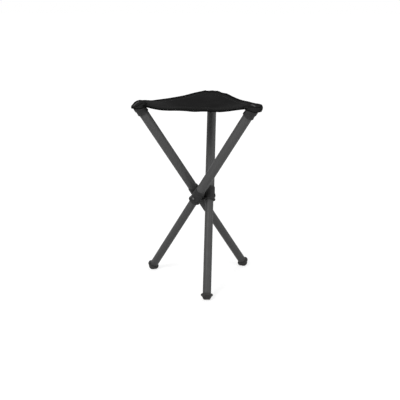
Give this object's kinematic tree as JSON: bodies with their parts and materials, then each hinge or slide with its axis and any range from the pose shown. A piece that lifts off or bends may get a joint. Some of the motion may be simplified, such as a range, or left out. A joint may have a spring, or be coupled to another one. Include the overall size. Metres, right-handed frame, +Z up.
{
  "type": "telescopic tripod stool",
  "caption": "Folding tripod stool with telescopic tubular legs that cross at a swivelling hub and carry a cloth seat on their upper ends.",
  "frame": {"origin": "middle of the stool's bounding box, on the floor it stands on", "axes": "+Z up from the floor; +X out along the pivot pin of leg 1; the foot of leg 1 is at the front, towards -Y, and its seat corner at the rear"},
  "size_m": [0.3134, 0.3376, 0.4922],
  "materials": {
    "seat_cloth": "plain-woven black polyester",
    "pocket_cloth": "doubled black polyester",
    "binding_tape": "ribbed black binding tape",
    "fitting_plastic": "moulded dark grey",
    "upper_tube_finish": "satin dark grey anodised",
    "lower_tube_finish": "satin grey anodised",
    "hub_plastic": "moulded dark grey",
    "core_plastic": "moulded black",
    "bush_nylon": "natural nylon",
    "foot_rubber": "matt black rubber",
    "steel": "bright plated"
  },
  "bodies": {
    "hub": {"hub_core_lower": "core_plastic", "hub_core_upper": "core_plastic", "hub_screw": "steel", "hub_nut": "steel", "seat_panel": "seat_cloth", "edge_binding_1": "binding_tape", "edge_binding_2": "binding_tape", "edge_binding_3": "binding_tape"},
    "upper_leg_1": {"upper_tube_1": "upper_tube_finish", "hub_sleeve_1": "hub_plastic", "corner_fitting_1": "fitting_plastic", "corner_pocket_1": "pocket_cloth"},
    "lower_leg_1": {"lower_tube_1": "lower_tube_finish", "guide_bush_1": "bush_nylon", "lock_clip_1": "steel", "rubber_foot_1": "foot_rubber"},
    "button_1": {"release_button_1": "steel"},
    "upper_leg_2": {"upper_tube_2": "upper_tube_finish", "hub_sleeve_2": "hub_plastic", "corner_fitting_2": "fitting_plastic", "corner_pocket_2": "pocket_cloth"},
    "lower_leg_2": {"lower_tube_2": "lower_tube_finish", "guide_bush_2": "bush_nylon", "lock_clip_2": "steel", "rubber_foot_2": "foot_rubber"},
    "button_2": {"release_button_2": "steel"},
    "upper_leg_3": {"upper_tube_3": "upper_tube_finish", "hub_sleeve_3": "hub_plastic", "corner_fitting_3": "fitting_plastic", "corner_pocket_3": "pocket_cloth"},
    "lower_leg_3": {"lower_tube_3": "lower_tube_finish", "guide_bush_3": "bush_nylon", "lock_clip_3": "steel", "rubber_foot_3": "foot_rubber"},
    "button_3": {"release_button_3": "steel"}
  },
  "joints": [
    {"name": "leg_1_fold", "type": "hinge", "parent": "hub", "child": "upper_leg_1", "pos_m": [0.0336, -0.00908, 0.23294], "axis": [1, 0, 0], "range_deg": [0, 33.3], "deforming": ["seat_panel", "edge_binding_1", "edge_binding_2", "edge_binding_3"]},
    {"name": "leg_2_fold", "type": "hinge", "parent": "hub", "child": "upper_leg_2", "pos_m": [0, 0.01031, 0.23294], "axis": [-0.5, 0.866, 0], "range_deg": [0, 33.3], "deforming": ["seat_panel", "edge_binding_1", "edge_binding_2", "edge_binding_3"]},
    {"name": "leg_3_fold", "type": "hinge", "parent": "hub", "child": "upper_leg_3", "pos_m": [0, -0.02848, 0.23294], "axis": [-0.5, -0.866, 0], "range_deg": [0, 33.3], "deforming": ["seat_panel", "edge_binding_1", "edge_binding_2", "edge_binding_3"]},
    {"name": "leg_1_slide", "type": "slide", "parent": "upper_leg_1", "child": "lower_leg_1", "axis": [0, 0.549, 0.8358], "range_m": [0, 0.24], "deforming": ["lock_clip_1"]},
    {"name": "leg_2_slide", "type": "slide", "parent": "upper_leg_2", "child": "lower_leg_2", "axis": [-0.4755, -0.2745, 0.8358], "range_m": [0, 0.24], "deforming": ["lock_clip_2"]},
    {"name": "leg_3_slide", "type": "slide", "parent": "upper_leg_3", "child": "lower_leg_3", "axis": [0.4755, -0.2745, 0.8358], "range_m": [0, 0.24], "deforming": ["lock_clip_3"]},
    {"name": "button_1_press", "type": "slide", "parent": "upper_leg_1", "child": "button_1", "axis": [-1, 0, 0], "range_m": [0, 0.0012], "stiffness_N_per_m": 2000, "springref_m": -0.0008, "deforming": ["lock_clip_1"]},
    {"name": "button_2_press", "type": "slide", "parent": "upper_leg_2", "child": "button_2", "axis": [0.5, -0.866, 0], "range_m": [0, 0.0012], "stiffness_N_per_m": 2000, "springref_m": -0.0008, "deforming": ["lock_clip_2"]},
    {"name": "button_3_press", "type": "slide", "parent": "upper_leg_3", "child": "button_3", "axis": [0.5, 0.866, 0], "range_m": [0, 0.0012], "stiffness_N_per_m": 2000, "springref_m": -0.0008, "deforming": ["lock_clip_3"]}
  ],
  "couplings": [
    {"joint": "leg_2_fold", "follows": "leg_1_fold", "ratio": 1},
    {"joint": "leg_3_fold", "follows": "leg_1_fold", "ratio": 1}
  ]
}
